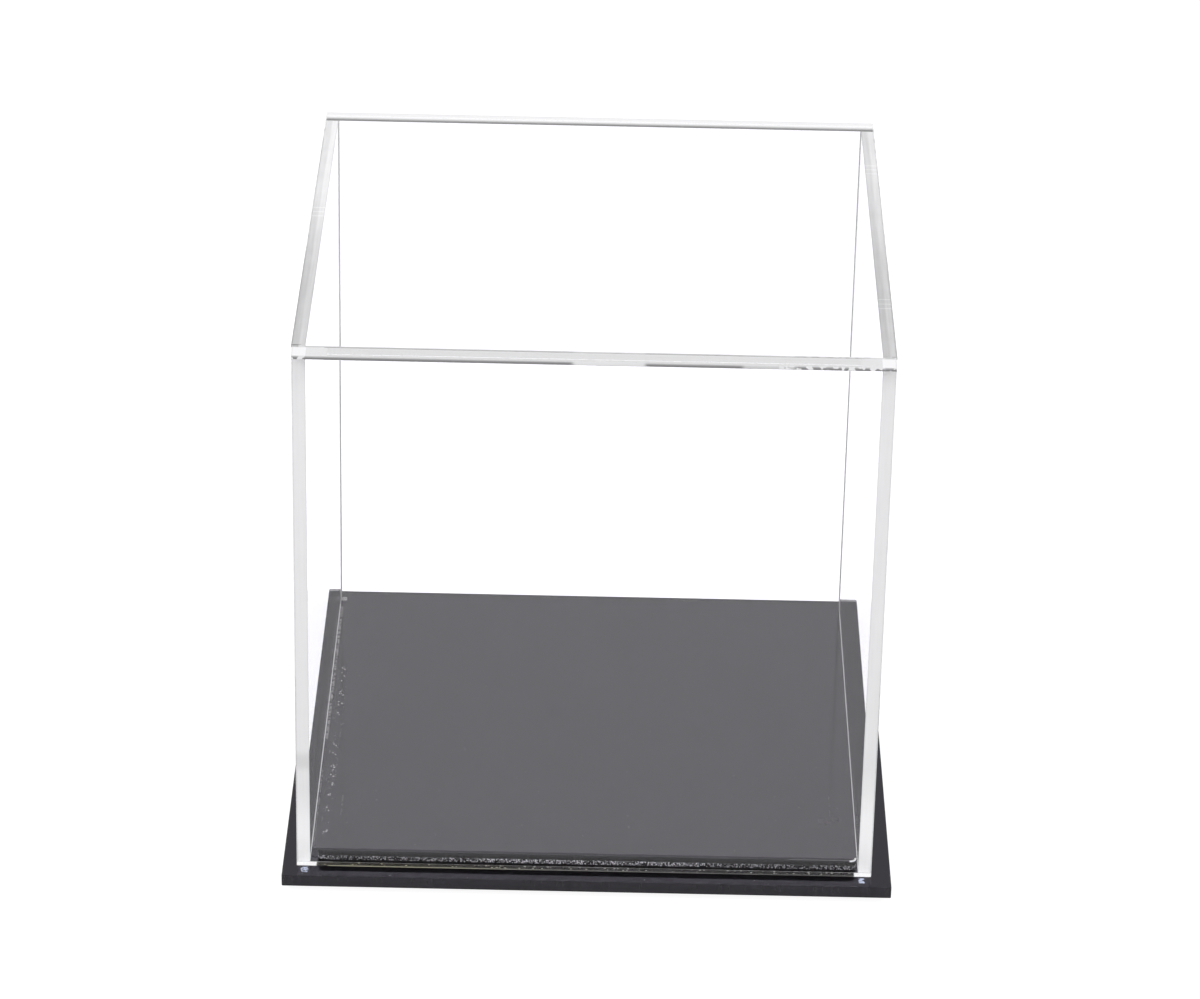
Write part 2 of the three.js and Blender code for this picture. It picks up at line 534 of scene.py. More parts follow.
def cement_share(tree, look, vector, along, start):
    """How much of a joint is filled with dark cement along its length."""
    share = look.get("filled", 0.0)
    for low, high, left in look.get("voids", ()):
        gap = window(tree, along, start + low, start + high, 2 * MM)
        share = product(tree, share, ease(tree, gap, 0.0, 1.0, 1.0, left))
    if "dashes" in look:
        grains = ease(tree, cloud(tree, scaled(tree, vector, DASH_SCALES), 1.0), 0.5, 0.55)
        late, early = look["dashes"]
        ragged = add_math(tree, "MAXIMUM", ease(tree, along, start + late - 4 * MM, start + late),
                          ease(tree, along, start + early + 0.5 * MM, start + early))
        share = product(tree, share, add_math(tree, "SUBTRACT", 1.0, product(tree, ragged, grains)))
    return share


def feed_marks(tree, along, centre):
    """Three fine light lines across a joint, where the saw's feed paused."""
    half_spacing, reach, strength = 1.2 * MM, 3 * MM, 0.12
    off_line = add_math(tree, "PINGPONG", add_math(tree, "SUBTRACT", along, centre), half_spacing)
    lines = ease(tree, off_line, 0.3 * MM, 0.1 * MM)
    return product(tree, lines, window(tree, along, centre - reach, centre + reach, 0.5 * MM), strength)


def bonded_joint_material(name, colours):
    """A joint between two clear sheets, sawn and then bonded, which shows as a pale strip."""
    look = JOINT_LOOKS[name]
    low, high, (_, wide, long) = joint_box(name)
    material = new_material("bond_" + name)
    tree = material.node_tree
    vector, places = position(tree)
    place, start = places[long], low[long]
    across = ease(tree, places[wide], low[wide], high[wide], kind="LINEAR")
    first, last = look.get("turn", (0.0, high[long] - start))
    along = ease(tree, place, start + first, start + last, kind="LINEAR")
    plain = {key: look[key] for key in BOND_SOCKETS if key in look}
    filled = cement_share(tree, look, vector, place, start)
    tone = use_group(tree, "bond_tone", vector=vector, across=across, along=along, filled=filled, **plain)
    for centre in look.get("marks", ()):
        tone = add_math(tree, "ADD", tone, feed_marks(tree, place, start + centre))
    if "smudge" in look:
        centre = start + look["smudge"]
        patch = window(tree, place, centre, centre, 4 * MM)
        tone = product(tree, tone, ease(tree, patch, 0.0, 1.0, 1.0, SMUDGE_TONE))
    if "end_line" in look:
        broken = ease(tree, cloud(tree, vector, 1.0, 900.0), 0.4, 0.5)
        line = product(tree, ease(tree, place, start + 0.8 * MM, start + 0.4 * MM), broken)
        tone = ease(tree, line, 0.0, 1.0, tone, look["end_line"])
    if "low_view" in look:
        angle = tree.nodes.new("ShaderNodeLayerWeight")
        flat_on = ease(tree, angle.outputs["Facing"], LOW_VIEW, HIGH_VIEW)
        first, last = LOW_VIEW_TURN
        low_tone = ease(tree, place, start + first, start + last, *look["low_view"])
        tone = ease(tree, flat_on, 0.0, 1.0, low_tone, tone)
    colour = mix_colour(tree, 1.0, grey(tree, tone), colours.joint, "MULTIPLY")
    principled(material, base_color=colour, roughness=FROSTED, specular_ior_level=0.0)
    return material


def sawn_white_material():
    """The cover's rear top edge, sawn and left matte, which reads white from inside the sheet."""
    material = new_material("clear_sawn_white")
    tree = material.node_tree
    vector, _ = position(tree)
    lines = use_group(tree, "saw_lines", vector=vector, spacing=0.6 * MM)
    angle = tree.nodes.new("ShaderNodeLayerWeight")
    from_above = ease(tree, angle.outputs["Facing"], 0.12, 0.3)
    tone = product(tree, ease(tree, from_above, 0.0, 1.0, 0.8, 1.0), ease(tree, lines, 0.2, 0.8, 0.98, 1.0))
    principled(material, base_color=grey(tree, tone), roughness=SAWN, specular_ior_level=0.1,
               normal=bumped(tree, lines, 0.01 * MM))
    return material


# The painted glint line's tone at its left, and the stretches in which it turns to the next tone
GLINT_LINE_LEFT_TONE = 0.36
GLINT_LINE_TURNS = (
    (-40 * MM, 0.0, 0.16),
    (10 * MM, 40 * MM, 0.11),
)


def front_foot_looks(tree, vector, x, y, between):
    """Tone and alpha of the front sheet's foot between the raised plate's sides: a painted glint line along
    its front, brightest on the left, and a few pale specks behind the line that are painted glints. Past
    those sides it is solid."""
    glint_line_tone = GLINT_LINE_LEFT_TONE
    for start, end, next_tone in GLINT_LINE_TURNS:
        glint_line_tone = ease(tree, x, start, end, glint_line_tone, next_tone)
    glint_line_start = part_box("raised_plate")[0][0] + 2 * MM
    glint_line_tone = ease(tree, x, glint_line_start, glint_line_start + 1 * MM, 0.03, glint_line_tone)
    # Painted glints: pale specks behind the glint line.
    specks = use_group(tree, "speck_field", vector=vector, spacing=1.1 * MM, size=0.8 * MM, share=0.3)
    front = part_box("front_panel")[0][1]
    # Painted glint: the pale line along the front of the foot.
    painted_glint = ease(tree, y, front + 1.0 * MM, front + 0.4 * MM)
    solid = add_math(tree, "MAXIMUM", painted_glint, add_math(tree, "MAXIMUM", specks, 0.1))
    return ease(tree, painted_glint, 0.0, 1.0, 0.4, glint_line_tone), ease(tree, between, 0.0, 1.0, 1.0, solid)


def panel_foot_material(node):
    """Bottom edge of the front or back sheet, which lets most of the view through between the raised plate's
    sides and is paler past them, with a warm tinge on its left. On the front sheet the pale ends are painted
    light, its dim tones between them are painted shade, and the tinge colours its painted glint line."""
    plate_low, plate_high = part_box("raised_plate")
    material = new_material("foot_" + node)
    tree = material.node_tree
    vector, (x, y, _) = position(tree)
    lines = use_group(tree, "saw_lines", vector=vector, spacing=0.4 * MM)
    between = window(tree, x, plate_low[0], plate_high[0] - 0.7 * MM, 0.3 * MM)
    if node == "front_panel":
        # Painted light on the front sheet: white past the raised plate's sides for light led down the sheet's
        # ends, and dim tones between them as painted shade of the black base under the foot.
        past_tone = 1.0
        tone, alpha = front_foot_looks(tree, vector, x, y, between)
    else:
        past_tone = tone = 0.8
        alpha = ease(tree, between, 0.0, 1.0, 0.31, 0.08)
    tone = product(tree, ease(tree, between, 0.0, 1.0, past_tone, tone),
                   ease(tree, lines, 0.2, 0.8, 0.85, 1.15))
    tone = add_math(tree, "MINIMUM", tone, 1.0)
    # On the front sheet the warm tinge colours the painted glint line.
    glint_warmth = product(tree, between, ease(tree, x, -45 * MM, 5 * MM, 1.0, 0.2))
    tinge = mix_colour(tree, glint_warmth, WHITE, OLIVE)
    colour = mix_colour(tree, 1.0, grey(tree, tone), tinge, "MULTIPLY")
    principled(material, base_color=colour, roughness=FROSTED, specular_ior_level=0.1, alpha=alpha,
               normal=bumped(tree, lines, SAW_DEPTH))
    return material


def cement_material():
    """Cement fillet in the rear corners."""
    material = new_material("cement_bead")
    tree = material.node_tree
    vector, _ = position(tree)
    tone = ease(tree, cloud(tree, vector, 2.0, 150.0), 0.2, 0.8, 0.22, 0.4)
    principled(material, base_color=grey(tree, tone), roughness=0.35,
               normal=bumped(tree, cloud(tree, vector, 2.0, 2000.0), 0.03 * MM))
    return material


def edge_distance(tree, x, y, box, radius):
    """How far a point is inside the rounded outline of a plate, up to the radius of its corners."""
    squares = []
    for place, low, high in ((x, box[0][0], box[1][0]), (y, box[0][1], box[1][1])):
        off = add_math(tree, "ABSOLUTE", add_math(tree, "SUBTRACT", place, (low + high) / 2))
        past = add_math(tree, "MAXIMUM", add_math(tree, "SUBTRACT", off, (high - low) / 2 - radius), 0.0)
        squares.append(product(tree, past, past))
    return add_math(tree, "SUBTRACT", radius, add_math(tree, "SQRT", add_math(tree, "ADD", *squares)))


def rim_wear(tree, vector, nearest):
    """Where a black plate is rubbed along its outline, in broken stretches."""
    broken = ease(tree, cloud(tree, vector, 3.0, 500.0), 0.5, 0.7)
    return product(tree, ease(tree, nearest, 0.4 * MM, 0.12 * MM), broken)


def patch_of(tree, x, y, box, soft):
    """One inside a rectangle given as x from, x to, y from, y to in millimetres, and zero outside."""
    x0, x1, y0, y1 = (v * MM for v in box)
    return product(tree, window(tree, x, x0, x1, soft), window(tree, y, y0, y1, soft))


# Marks seen on the black plates, as x from, x to, y from, y to in millimetres. The ledge's marks are
#  painted highlights: bright streaks of light caught along the left sheet's foot. In the first two lists each
#  mark also has the strength of its dust.
RAISED_MARKS = (
    ((-58.2, -58.05, -46.6, -37.5), 0.07),
    ((57.0, 57.1, -43.0, -33.0), 0.04),
)
# Painted highlights: bright streaks of light caught along the left sheet's foot, painted on the ledge.
PAINTED_LEDGE_HIGHLIGHTS = (
    ((-64.1, -63.7, -6.9, 61.7), 0.29),
    ((-64.1, -63.95, -55.9, -21.3), 0.17),
)
RAISED_SMUDGE = (54.5, 58.8, -46.0, -43.6)
# Painted highlight: a glint on the raised plate's front right corner, painted pale on its top rim and on its
# arris.
PAINTED_CORNER_GLINT = (61.2, 62.7, -62.7, -61.3)
# Painted highlight: a light line along the raised plate's front top edge, left of the corner glint.
PAINTED_FRONT_HIGHLIGHT = (47.0, 62.7, -62.7, -62.3)
DUSTY_RIM = (-61.6, -60.7, -57.6, 27.7)
# Painted reflection: glints on the base's lip below the cover's front corners, mirror images of the bright
# upright joints.
PAINTED_LIP_GLINTS = (
    (-66.0, -64.9, -68.6, -66.9),
    (63.2, 64.1, -68.7, -66.9),
)

# Strengths, as shares of the dust's colour, of what lies on the black plates and of the painted highlight
# along the raised plate's front
LOOSE_DUST = 0.1
WORN_OUTLINE = 0.08
PAINTED_FRONT_HIGHLIGHT_SHARE = 0.11
DUSTY_RIM_DUST = 0.6

# Roughness of the polished faces at its lowest
SMOOTHEST = {"raised_plate": 0.085, "base_plate": 0.035}


def top_of_raised_plate(tree, vector, x, y, nearest, dust_and_highlights):
    """Adds to the dust what the raised plate's top alone has: a dusty rim, and two painted highlights,
    a glint at its front right corner and a light line along its front.
    """
    thick = use_group(tree, "speck_field", vector=vector, spacing=0.8 * MM, size=0.55 * MM, share=0.3)
    rim = product(tree, thick, patch_of(tree, x, y, DUSTY_RIM, 0.5 * MM), DUSTY_RIM_DUST)
    near_edge = ease(tree, nearest, 0.55 * MM, 0.25 * MM)
    # Painted highlight: a glint on the rim of the front right corner.
    corner = product(tree, patch_of(tree, x, y, PAINTED_CORNER_GLINT, 0.4 * MM), near_edge)
    # Painted highlight: a light line along the front edge.
    front = product(tree, patch_of(tree, x, y, PAINTED_FRONT_HIGHLIGHT, 0.15 * MM), PAINTED_FRONT_HIGHLIGHT_SHARE)
    for extra in (rim, corner, front):
        dust_and_highlights = add_math(tree, "MAXIMUM", dust_and_highlights, extra)
    return dust_and_highlights


def black_sheet_material(node, radius, colours):
    """Polished face of a black plate, with dust, hairlines, a rubbed outline and the marks seen on it, and
    with painted highlights in the dust colour and painted reflection glints on the base's lip.
    """
    raised = node == "raised_plate"
    material = new_material("black_face_" + node.replace("_plate", ""))
    tree = material.node_tree
    vector, (x, y, _) = position(tree)
    nearest = edge_distance(tree, x, y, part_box(node), max(radius, 1 * MM))
    specks = use_group(tree, "speck_field", vector=vector, spacing=5 * MM, size=0.5 * MM, share=0.3)
    dust_and_highlights = product(tree, specks, LOOSE_DUST)
    if raised:
        dust_and_highlights = top_of_raised_plate(tree, vector, x, y, nearest, dust_and_highlights)
    # On the base plate these marks are painted highlights, streaks of light caught along the left sheet's
    # foot.
    for place, strength in RAISED_MARKS if raised else PAINTED_LEDGE_HIGHLIGHTS:
        patch = patch_of(tree, x, y, place, 0.25 * MM)
        broken = ease(tree, cloud(tree, vector, 3.0, 900.0), 0.35, 0.6)
        dust_and_highlights = add_math(tree, "MAXIMUM", dust_and_highlights, product(tree, patch, broken, strength))
    dust_and_highlights = add_math(tree, "MAXIMUM", dust_and_highlights, product(tree, rim_wear(tree, vector, nearest), WORN_OUTLINE))
    # This colour paints the dust and also the painted highlights in the mask.
    colour = mix_colour(tree, dust_and_highlights, colours.black, colours.dust_and_highlights)
    # Painted reflection: glints on the lip under the cover's front corners, mirror images of the bright
    # upright joints.
    for place in () if raised else PAINTED_LIP_GLINTS:
        patch = patch_of(tree, x, y, place, 1.2 * MM)
        ragged = add_math(tree, "ADD", patch, cloud(tree, vector, 3.0, 1500.0))
        colour = mix_colour(tree, ease(tree, ragged, 1.36, 1.5), colour, colours.lip_glint)
    lines = use_group(tree, "hairlines", vector=vector, spacing=1.5 * MM, strength=1.0)
    lowest = SMOOTHEST[node]
    rough = ease(tree, cloud(tree, vector, 2.0, 60.0), 0.3, 0.7, lowest, lowest + 0.01)
    rough = add_math(tree, "ADD", rough, product(tree, lines, 0.03))
    if raised:
        smudge = product(tree, patch_of(tree, x, y, RAISED_SMUDGE, 1.5 * MM), cloud(tree, vector, 2.0, 700.0))
        rough = add_math(tree, "ADD", rough, product(tree, smudge, 0.35))
    rough = add_math(tree, "ADD", rough, product(tree, dust_and_highlights, 0.5))
    principled(material, base_color=colour, roughness=rough, ior=ACRYLIC_IOR,
               specular_tint=colours.black_gloss, normal=bumped(tree, lines, HAIRLINE_DEPTH))
    return material


# Where the chips and their painted glitter are: from and to above the bottom, and the stretch of x where they
# are brightest
CHIP_AND_GLINT_HEIGHTS = (0.6 * MM, 1.4 * MM)
CHIP_AND_GLINT_MIDDLE = (-25 * MM, 22 * MM)


def chips_and_glints_band(tree, vector, x, y, z, bottom):
    """Chips along the lower half of the raised plate's sawn edge, fainter towards its ends; their glitter is
    painted as pale specks.
    """
    lower, upper = CHIP_AND_GLINT_HEIGHTS
    band = window(tree, z, bottom + lower, bottom + upper, 0.25 * MM)
    unrolled = tree.nodes.new("ShaderNodeCombineXYZ")
    feed(tree, unrolled.inputs[0], add_math(tree, "ADD", x, y))
    feed(tree, unrolled.inputs[1], z)
    sparkle = use_group(tree, "speck_field", vector=unrolled.outputs[0], spacing=0.36 * MM,
                        size=0.46 * MM, share=0.6)
    grain = ease(tree, cloud(tree, vector, 3.0, 1800.0), 0.4, 0.7)
    chips_and_glints = add_math(tree, "ADD", sparkle, product(tree, grain, 0.25))
    middle = ease(tree, window(tree, x, *CHIP_AND_GLINT_MIDDLE, 12 * MM), 0.0, 1.0, 0.58, 1.0)
    return product(tree, band, chips_and_glints, middle)


def sawn_edge_material(node, colours):
    """Sawn edge of a black plate. The raised plate's is chipped, with glitter painted in its chips and a
    glint painted on its front right corner's arris, and duller towards its bottom.
    """
    low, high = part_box(node)
    material = new_material("black_edge_" + node.replace("_plate", ""))
    tree = material.node_tree
    vector, (x, y, z) = position(tree)
    raised = node == "raised_plate"
    height = lines = use_group(tree, "saw_lines", vector=vector, spacing=0.5 * MM)
    colour = mix_colour(tree, ease(tree, lines, 0.3, 0.7, 0.006, 0.015), colours.black, colours.dust_and_highlights)
    rough = ease(tree, lines, 0.2, 0.8, 0.16, 0.3 if raised else 0.2)
    if raised:
        # Painted light: glitter painted as pale specks in the chips, and a glint painted on the front right
        # corner's arris.
        chip_and_glint_mask = chips_and_glints_band(tree, vector, x, y, z, low[2])
        on_arris = ease(tree, z, high[2] - 0.3 * MM, high[2] - 0.15 * MM)
        painted_glint = product(tree, patch_of(tree, x, y, PAINTED_CORNER_GLINT, 0.3 * MM), on_arris)
        for mask in (chip_and_glint_mask, painted_glint):
            colour = mix_colour(tree, mask, colour, colours.chips_and_glints)
        height = add_math(tree, "ADD", lines, chip_and_glint_mask)
        dull = ease(tree, z, low[2] + 2.1 * MM, low[2] + 0.4 * MM)
        rough = add_math(tree, "ADD", rough, product(tree, dull, 0.5))
    principled(material, base_color=colour, roughness=rough, ior=ACRYLIC_IOR,
               specular_ior_level=0.25 if raised else 0.5, specular_tint=colours.edge_gloss,
               normal=bumped(tree, height, SAW_DEPTH if raised else FINE_SAW_DEPTH))
    return material


def matte_arris_material(colours):
    """Lower edge of a black plate, scraped and left matte."""
    material = new_material("black_lower_arris")
    tree = material.node_tree
    vector, _ = position(tree)
    scraped = cloud(tree, vector, 3.0, 1200.0)
    colour = mix_colour(tree, ease(tree, scraped, 0.45, 0.8, 0.0, 0.04), colours.black, colours.dust_and_highlights)
    principled(material, base_color=colour, roughness=ease(tree, scraped, 0.2, 0.8, 0.6, 0.9),
               specular_ior_level=0.1, normal=bumped(tree, scraped, 0.02 * MM))
    return material


def bumper_material(colours):
    """Soft clear plastic of the feet, with a fine grain and dust in its lower rim."""
    material = new_material("clear_bumper")
    tree = material.node_tree
    vector, (_, _, z) = position(tree)
    grain = cloud(tree, vector, 3.0, 2500.0)
    dusty = product(tree, ease(tree, z, 0.6 * MM, 0.0), ease(tree, grain, 0.4, 0.7), 0.4)
    colour = mix_colour(tree, dusty, colours.bumper, colours.dust_and_highlights)
    principled(material, base_color=colour, roughness=ease(tree, grain, 0.2, 0.8, 0.15, 0.3),
               ior=BUMPER_IOR, transmission_weight=0.8, normal=bumped(tree, grain, 0.01 * MM))
    return material


# Mesh building

# How far outside a face another sheet is looked for
PROBE = 0.5 * MM

# Parts of a face's normal along an axis: from which it looks along that axis, is level, or leans down
FACING = 0.9
LEVEL = 0.99
LEANING_DOWN = -0.1


def box_skin(low, high, cuts):
    """A closed box whose faces are split at the cuts, as a bmesh. cuts holds places along x, y and z."""
    mesh = bmesh.new()
    stops = [sorted({low[a], high[a], *(c for c in cuts[a] if low[a] < c < high[a])}) for a in range(3)]
    corners = {}

    def corner(point):
        """The vertex at a point, made once."""
        key = tuple(point)
        if key not in corners:
            corners[key] = mesh.verts.new(key)
        return corners[key]

    for axis in range(3):
        u, v = (axis + 1) % 3, (axis + 2) % 3
        for side in (low[axis], high[axis]):
            for u0, u1 in zip(stops[u], stops[u][1:]):
                for v0, v1 in zip(stops[v], stops[v][1:]):
                    ring = []
                    for cu, cv in ((u0, v0), (u1, v0), (u1, v1), (u0, v1)):
                        point = [0.0, 0.0, 0.0]
                        point[axis], point[u], point[v] = side, cu, cv
                        ring.append(corner(point))
                    mesh.faces.new(ring if side == high[axis] else ring[::-1])
    mesh.normal_update()
    return mesh


def prism(mesh, outline, bottom, top):
    """Adds an upright prism. Gives its faces, which point outward where the outline runs counter-clockwise
    as seen from above."""
    rings = [[mesh.verts.new((x, y, z)) for x, y in outline] for z in (bottom, top)]
    faces = [mesh.faces.new(rings[0][::-1]), mesh.faces.new(rings[1])]
    for i in range(len(outline)):
        j = (i + 1) % len(outline)
        faces.append(mesh.faces.new((rings[0][i], rings[0][j], rings[1][j], rings[1][i])))
    return faces


def lies_at(edge, level):
    """Whether both ends of an edge are at a height."""
    return all(abs(vertex.co.z - level) < 0.001 * MM for vertex in edge.verts)


def bevel(mesh, edges, width, **options):
    """Bevels edges to a small rounded arris."""
    bmesh.ops.bevel(
        mesh, geom=edges, offset=width, segments=BEVEL_STEPS, profile=0.5, affect="EDGES", **options)


def finished_object(name, mesh, materials):
    """Turns a bmesh into an object in the scene, with its materials in slots."""
    data = bpy.data.meshes.new(name)
    mesh.to_mesh(data)
    mesh.free()
    for material in materials:
        data.materials.append(material)
    piece = bpy.data.objects.new(name, data)
    bpy.context.collection.objects.link(piece)
    return piece


def inside(point, box):
    """Whether a point is in a box."""
    low, high = box
    return all(low[a] <= point[a] <= high[a] for a in range(3))


def finish_of_face(node, face):
    """The name of the finish that a face of a clear sheet has: bonded, sawn or polished."""
    probe = face.calc_center_median() + face.normal * PROBE
    for other in COVER_PANELS:
        if other != node and inside(probe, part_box(other)):
            return joint_name(node, other)
    if node == "top_panel" and face.normal.y > FACING:
        return "sawn_white"
    if node in ("front_panel", "back_panel") and face.normal.z < -FACING:
        return "foot_" + node
    return "polished"


def clear_panel(node, sheets, finishes):
    """One clear sheet of the cover, with its bonded strips told apart from its free faces."""
    low, high = (Vector(c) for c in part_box(node))
    cuts = [[c[a] for other in COVER_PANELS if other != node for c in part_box(other)] for a in range(3)]
    mesh = box_skin(low, high, cuts)
    used = ["polished"]
    for face in mesh.faces:
        finish = finish_of_face(node, face)
        if finish not in used:
            used.append(finish)
        face.material_index = used.index(finish)
    sharp = [edge for edge in mesh.edges if edge.calc_face_angle(0.0) > SHARP]
    bevel(mesh, sharp, sheets.clear_arris, clamp_overlap=True)
    mesh.normal_update()
    draw_in_ends(mesh, node, low, high, sheets)
    if node == "back_panel":
        used.append("cement")
        add_beads(mesh, sheets, used.index("cement"))
    piece = finished_object(node + "_sheet", mesh, [finishes[finish] for finish in used])
    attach(piece, "cover")
    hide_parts(node)


def draw_in_ends(mesh, node, low, high, sheets):
    """Moves the walls' bonded ends in by the joint gap, and lifts their bottom edges off the base."""
    reach = 2 * sheets.clear_arris
    for vertex in mesh.verts:
        if node != "top_panel":
            if vertex.co.z > high.z - reach:
                vertex.co.z -= sheets.joint_gap
            if vertex.co.z < low.z + reach:
                vertex.co.z += sheets.resting_gap
        if node in ("left_panel", "right_panel"):
            if vertex.co.y > high.y - reach:
                vertex.co.y -= sheets.joint_gap
            if vertex.co.y < low.y + reach:
                vertex.co.y += sheets.joint_gap


def add_beads(mesh, sheets, slot):
    """Adds a thin hollow-faced fillet of cement up each rear corner, just clear of the sheets."""
    size, hold = sheets.bead, sheets.joint_gap
    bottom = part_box("base_plate")[1][2] + 2 * hold
    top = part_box("top_panel")[0][2] - 2 * hold
    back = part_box("back_panel")[0][1] - hold
    for side, way in ((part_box("left_panel")[1][0], 1), (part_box("right_panel")[0][0], -1)):
        corner = side + way * hold
        outline = [(corner, back)]
        for step in range(FILLET_STEPS + 1):
            angle = step / FILLET_STEPS * math.pi / 2
            outline.append((corner + way * size * (1 - math.sin(angle)), back - size * (1 - math.cos(angle))))
        faces = prism(mesh, outline, bottom, top)
        bmesh.ops.recalc_face_normals(mesh, faces=faces)
        for face in faces:
            face.material_index = slot


def rounded_outline(low, high, radius):
    """Corner points of a rounded rectangle, counter-clockwise from above."""
    points = []
    centres = ((high.x - radius, low.y + radius), (high.x - radius, high.y - radius),
               (low.x + radius, high.y - radius), (low.x + radius, low.y + radius))
    for quarter, (x, y) in enumerate(centres):
        for step in range(CORNER_STEPS + 1):
            angle = (quarter - 1 + step / CORNER_STEPS) * math.pi / 2
            points.append((x + radius * math.cos(angle), y + radius * math.sin(angle)))
    return points


def black_plate(node, radius, sheets, materials):
    """One black plate. materials are those of its polished faces, sawn edges and matte lower arris."""
    low, high = (Vector(c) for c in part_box(node))
    mesh = bmesh.new()
    prism(mesh, rounded_outline(low, high, radius), low.z, high.z)
    mesh.normal_update()
    for level, width in ((low.z, sheets.lower_arris), (high.z, sheets.black_arris)):
        rim = [edge for edge in mesh.edges if lies_at(edge, level)]
        bevel(mesh, rim, width)
    mesh.normal_update()
    for face in mesh.faces:
        upward = face.normal.z
        face.smooth = abs(upward) < LEVEL
        face.material_index = 0 if not face.smooth else 2 if upward < LEANING_DOWN else 1
    piece = finished_object(node + "_sheet", mesh, materials)
    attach(piece, "base")
    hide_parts(node)


# Operators

class DISPLAYCASE_OT_stage(bpy.types.Operator):
    """Add the floor, the white surround, the lamps and the camera"""

    bl_idname = "display_case.stage"
    bl_label = "Studio"

    def execute(self, context):
        scene = context.scene
        studio = scene.display_case_studio
        scene.view_settings.view_transform = "Standard"
        for kind, count in LIGHT_BOUNCES.items():
            setattr(scene.cycles, kind, count)
        self.add_floor(context, studio)
        self.add_surround(scene, studio)
        self.add_lamps(context, studio)
        self.add_camera(context, studio)
        return {"FINISHED"}

    def add_floor(self, context, studio):
        """A pale floor that keeps its shadows and is seen as white."""
        colours = context.scene.display_case_colours
        mesh = bmesh.new()
        bmesh.ops.create_grid(mesh, x_segments=8, y_segments=8, size=FLOOR_HALF)
        material = new_material("floor")
        tree = material.node_tree
        lit = tree.nodes.new("ShaderNodeBsdfDiffuse")
        lit.inputs["Color"].default_value = colours.floor
        path = tree.nodes.new("ShaderNodeLightPath")
        through = path.outputs["Is Transmission Ray"]
        glow = tree.nodes.new("ShaderNodeEmission")
        glow.inputs["Color"].default_value = WHITE
        feed(tree, glow.inputs["Strength"],
             ease(tree, through, 0.0, 1.0, studio.floor_glow, studio.glow_through, "LINEAR"))
        seen = mix_shaders(tree, studio.floor_shade, glow.outputs[0], lit.outputs[0])
        mirrored = product(tree, path.outputs["Is Glossy Ray"], add_math(tree, "SUBTRACT", 1.0, through))
        plain = add_math(tree, "MAXIMUM", path.outputs["Is Diffuse Ray"], mirrored)
        both = mix_shaders(tree, plain, seen, lit.outputs[0])
        tree.links.new(both, output_of(material).inputs["Surface"])
        floor = finished_object("studio_floor", mesh, [material])

    def add_surround(self, scene, studio):
        """A white room, with its own brightness as light, in mirrors, through glass and seen directly."""
        world = bpy.data.worlds.new("white_surround")
        scene.world = world
        world.use_nodes = True
        tree = world.node_tree
        tree.nodes.clear()
        out = tree.nodes.new("ShaderNodeOutputWorld")
        light = tree.nodes.new("ShaderNodeBackground")
        light.inputs["Color"].default_value = WHITE
        path = tree.nodes.new("ShaderNodeLightPath")
        strength = studio.surround
        for kind, value in (("Is Glossy Ray", studio.mirrored), ("Is Transmission Ray", studio.seen_through),
                            ("Is Camera Ray", 1.0)):
            strength = ease(tree, path.outputs[kind], 0.0, 1.0, strength, value, "LINEAR")
        feed(tree, light.inputs["Strength"], strength)
        tree.links.new(light.outputs[0], out.inputs["Surface"])

    def add_lamps(self, context, studio):
        """Two soft square lamps, left and right of the camera."""
        for name, place in LAMP_PLACES.items():
            lamp = bpy.data.lights.new(name, "AREA")
            lamp.shape = "SQUARE"
            lamp.size = studio.lamp_size
            lamp.energy = studio.lamp_power
            holder = bpy.data.objects.new(name, lamp)
            holder.location = place
            aim = Vector(LAMP_AIM) - Vector(place)
            holder.rotation_euler = aim.to_track_quat("-Z", "Y").to_euler()
            context.collection.objects.link(holder)

    def add_camera(self, context, studio):
        """The camera, which looks to the back and down, with a slight tilt."""
        down, roll = studio.pitch, studio.roll
        ahead = Vector((0, math.cos(down), -math.sin(down)))
        right = Vector((1, 0, 0))
        up = right.cross(ahead)
        side = math.cos(roll) * right + math.sin(roll) * up
        top = -math.sin(roll) * right + math.cos(roll) * up
        data = bpy.data.cameras.new("camera")
        data.sensor_fit = "HORIZONTAL"
        data.sensor_width = CAMERA_FRAME_WIDTH
        data.lens = studio.lens
        data.clip_start = 0.05
        data.clip_end = 50
        camera = bpy.data.objects.new("camera", data)
        turn = Matrix((side, top, -ahead)).transposed()
        camera.matrix_world = Matrix.Translation(studio.place) @ turn.to_4x4()
        context.collection.objects.link(camera)
        context.scene.camera = camera


class DISPLAYCASE_OT_clear_cover(bpy.types.Operator):
    """Add the five clear sheets of the cover"""

    bl_idname = "display_case.clear_cover"
    bl_label = "Clear Cover"

    def execute(self, context):
        scene = context.scene
        colours = scene.display_case_colours
        finishes = {name: bonded_joint_material(name, colours) for name in JOINT_LOOKS}
        finishes["polished"] = clear_sheet_material(colours)
        finishes["sawn_white"] = sawn_white_material()
        finishes["cement"] = cement_material()
        for node in ("front_panel", "back_panel"):
            finishes["foot_" + node] = panel_foot_material(node)
        for node in COVER_PANELS:
            clear_panel(node, scene.display_case_sheets, finishes)
        return {"FINISHED"}


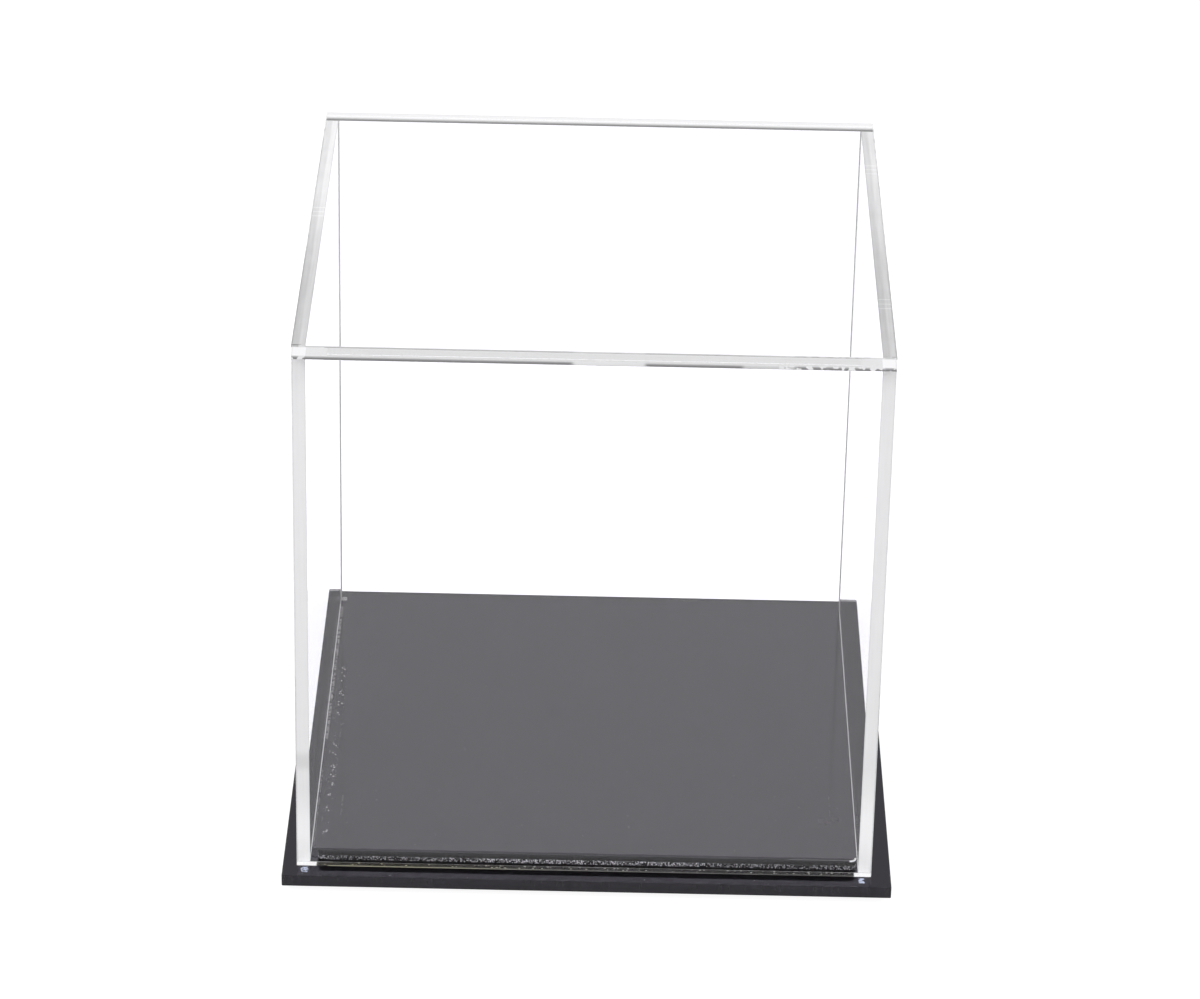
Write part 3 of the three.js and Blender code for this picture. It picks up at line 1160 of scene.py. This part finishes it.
class DISPLAYCASE_OT_black_base(bpy.types.Operator):
    """Add the two black plates of the base"""

    bl_idname = "display_case.black_base"
    bl_label = "Black Base"

    def execute(self, context):
        scene = context.scene
        colours = scene.display_case_colours
        sheets = scene.display_case_sheets
        arris = matte_arris_material(colours)
        for node, radius in (("base_plate", sheets.base_corner), ("raised_plate", sheets.raised_corner)):
            face = black_sheet_material(node, radius, colours)
            black_plate(node, radius, sheets, [face, sawn_edge_material(node, colours), arris])
        return {"FINISHED"}


class DISPLAYCASE_OT_feet(bpy.types.Operator):
    """Give the four feet their finish"""

    bl_idname = "display_case.feet"
    bl_label = "Feet"

    def execute(self, context):
        material = bumper_material(context.scene.display_case_colours)
        for node in FEET:
            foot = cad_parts[node]
            foot.material_slots[0].link = "OBJECT"
            foot.material_slots[0].material = material
        return {"FINISHED"}


class DISPLAYCASE_PT_sidebar(bpy.types.Panel):
    """Lists the pieces of the display case and its studio"""

    bl_label = "Display Case"
    bl_idname = "DISPLAYCASE_PT_sidebar"
    bl_space_type = "VIEW_3D"
    bl_region_type = "UI"
    bl_category = "Display Case"

    def draw(self, context):
        layout = self.layout
        for operator in OPERATORS:
            layout.operator(operator.bl_idname)


OPERATORS = (
    DISPLAYCASE_OT_stage,
    DISPLAYCASE_OT_clear_cover,
    DISPLAYCASE_OT_black_base,
    DISPLAYCASE_OT_feet,
)
SETTINGS = {
    "display_case_sheets": DisplayCaseSheets,
    "display_case_colours": DisplayCaseColours,
    "display_case_studio": DisplayCaseStudio,
}


def register():
    """Makes the settings, the operators and the panel known."""
    for group in SETTINGS.values():
        bpy.utils.register_class(group)
    for name, group in SETTINGS.items():
        setattr(bpy.types.Scene, name, bpy.props.PointerProperty(type=group))
    for operator in OPERATORS:
        bpy.utils.register_class(operator)
    bpy.utils.register_class(DISPLAYCASE_PT_sidebar)


def unregister():
    """Takes back what register did."""
    bpy.utils.unregister_class(DISPLAYCASE_PT_sidebar)
    for operator in reversed(OPERATORS):
        bpy.utils.unregister_class(operator)
    for name, group in SETTINGS.items():
        delattr(bpy.types.Scene, name)
        bpy.utils.unregister_class(group)


def main():
    """Builds the display case and its studio."""
    register()
    make_speck_field()
    make_hairlines()
    make_saw_lines()
    make_bond_tone()
    bpy.ops.display_case.stage()
    bpy.ops.display_case.clear_cover()
    bpy.ops.display_case.black_base()
    bpy.ops.display_case.feet()


if __name__ == "__main__":
    main()
